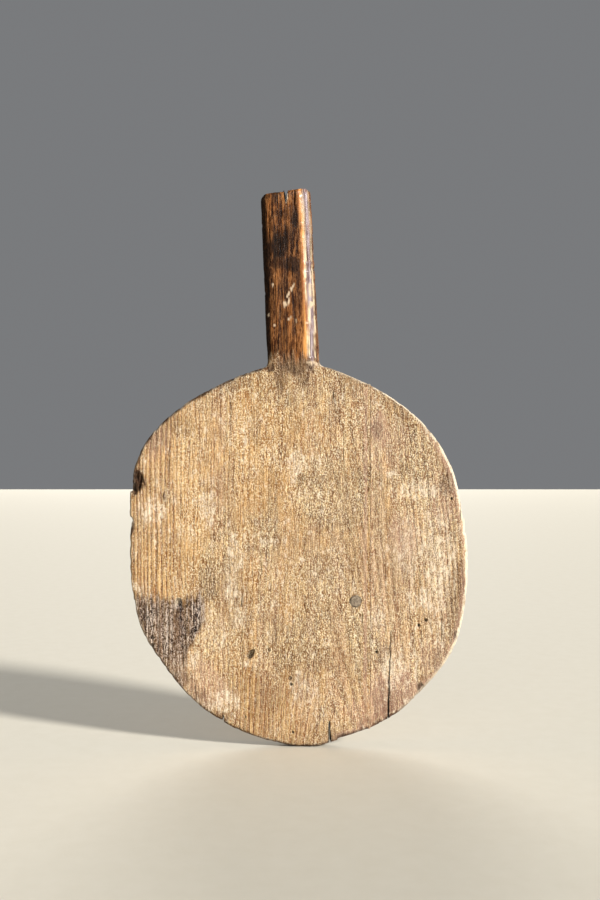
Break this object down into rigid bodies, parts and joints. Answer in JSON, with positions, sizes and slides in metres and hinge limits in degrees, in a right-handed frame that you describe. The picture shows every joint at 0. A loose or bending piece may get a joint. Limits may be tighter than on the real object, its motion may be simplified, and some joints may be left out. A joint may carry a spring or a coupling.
{
  "type": "pizza peel",
  "caption": "Short-handled wooden pizza peel: a flattened round blade of edge-joined boards, the wider one running on into a rounded handle.",
  "frame": {"origin": "under the middle of the blade, level with its lowest point", "axes": "+Z along the grain towards the handle, -Y out of the working face, +X towards the narrow side board"},
  "size_m": [0.2816, 0.024, 0.4654],
  "materials": {
    "main_pine": "matte",
    "side_pine": "matte",
    "tongue_wood": "matte",
    "peg_wood": "matte"
  },
  "bodies": {
    "root": {"main_board": "main_pine", "side_board": "side_pine", "lower_tongue": "tongue_wood", "upper_tongue": "tongue_wood", "tongue_peg": "peg_wood"}
  },
  "joints": []
}
